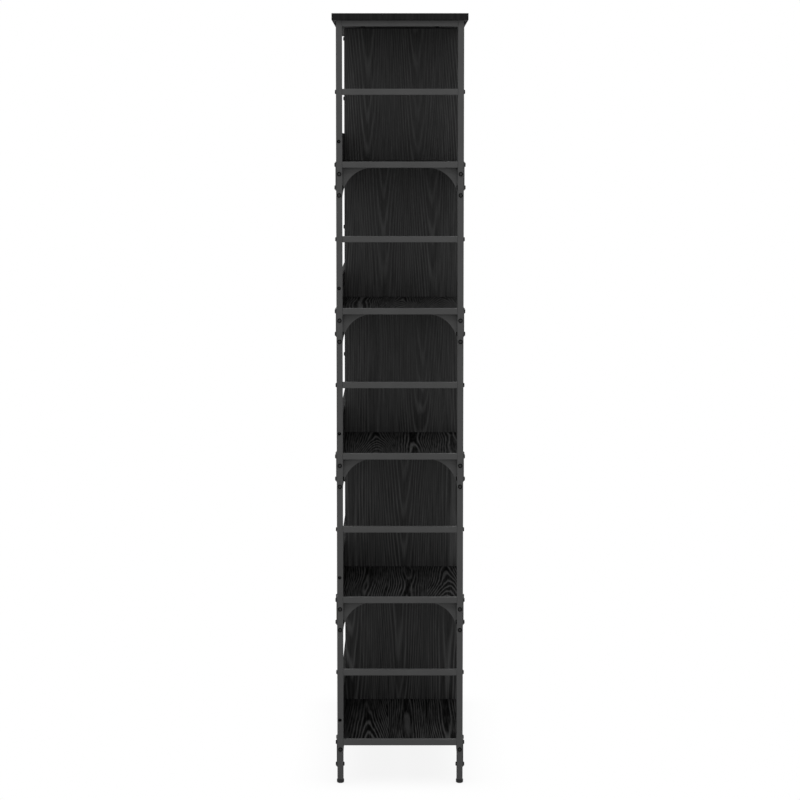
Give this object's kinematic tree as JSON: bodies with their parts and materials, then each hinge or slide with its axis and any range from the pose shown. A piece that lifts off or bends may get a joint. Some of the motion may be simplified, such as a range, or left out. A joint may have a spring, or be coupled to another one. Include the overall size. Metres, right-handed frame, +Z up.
{
  "type": "bookcase",
  "caption": "Tall open bookcase: a bolted black steel tube frame carries dark oak shelves, upright dividers and low back stops, and stands on levelling feet.",
  "frame": {"origin": "on the floor, under the middle of the bookcase", "axes": "+Z up, +X along the length to the right of a person who faces the front, -Y out of the front"},
  "size_m": [1, 0.33, 1.89],
  "materials": {
    "black_oak": "black oak grain on board, matt",
    "powder_coat": "fine black powder coat, satin",
    "black_fastener": "black coated steel",
    "black_plastic": "black moulded plastic",
    "zinc_steel": "zinc plated steel",
    "beech": "plain beech"
  },
  "bodies": {
    "frame": {"back_corner_plates": "powder_coat", "back_left_post_1": "powder_coat", "back_left_post_2": "powder_coat", "back_left_post_3": "powder_coat", "back_left_post_4": "powder_coat", "back_left_post_5": "powder_coat", "back_long_rails": "powder_coat", "back_right_post_1": "powder_coat", "back_right_post_2": "powder_coat", "back_right_post_3": "powder_coat", "back_right_post_4": "powder_coat", "back_right_post_5": "powder_coat", "back_stop_1": "black_oak", "back_stop_2": "black_oak", "back_stop_3": "black_oak", "back_stop_4": "black_oak", "back_stop_5": "black_oak", "back_stop_screws": "black_fastener", "board_screws": "black_fastener", "divider_1": "black_oak", "divider_2": "black_oak", "divider_3": "black_oak", "divider_4": "black_oak", "divider_5": "black_oak", "divider_dowels": "beech", "front_corner_plates": "powder_coat", "front_left_post_1": "powder_coat", "front_left_post_2": "powder_coat", "front_left_post_3": "powder_coat", "front_left_post_4": "powder_coat", "front_left_post_5": "powder_coat", "front_long_rails": "powder_coat", "front_right_post_1": "powder_coat", "front_right_post_2": "powder_coat", "front_right_post_3": "powder_coat", "front_right_post_4": "powder_coat", "front_right_post_5": "powder_coat", "left_gussets": "powder_coat", "left_mid_rails": "powder_coat", "left_shelf_rails": "powder_coat", "leg_inserts": "black_plastic", "post_bolts": "black_fastener", "post_connectors": "zinc_steel", "rail_bolts": "black_fastener", "rail_plugs": "zinc_steel", "right_gussets": "powder_coat", "right_mid_rails": "powder_coat", "right_shelf_rails": "powder_coat", "shelf_1": "black_oak", "shelf_2": "black_oak", "shelf_3": "black_oak", "shelf_4": "black_oak", "shelf_5": "black_oak", "sleeve_nuts": "black_fastener", "top_board": "black_oak", "top_rails": "powder_coat"},
    "front_left_foot": {"front_left_foot": "black_plastic"},
    "front_right_foot": {"front_right_foot": "black_plastic"},
    "back_left_foot": {"back_left_foot": "black_plastic"},
    "back_right_foot": {"back_right_foot": "black_plastic"}
  },
  "joints": [
    {"name": "front_left_foot_height", "type": "slide", "parent": "frame", "child": "front_left_foot", "axis": [0, 0, -1], "range_m": [0, 0.01]},
    {"name": "front_right_foot_height", "type": "slide", "parent": "frame", "child": "front_right_foot", "axis": [0, 0, -1], "range_m": [0, 0.01]},
    {"name": "back_left_foot_height", "type": "slide", "parent": "frame", "child": "back_left_foot", "axis": [0, 0, -1], "range_m": [0, 0.01]},
    {"name": "back_right_foot_height", "type": "slide", "parent": "frame", "child": "back_right_foot", "axis": [0, 0, -1], "range_m": [0, 0.01]}
  ]
}
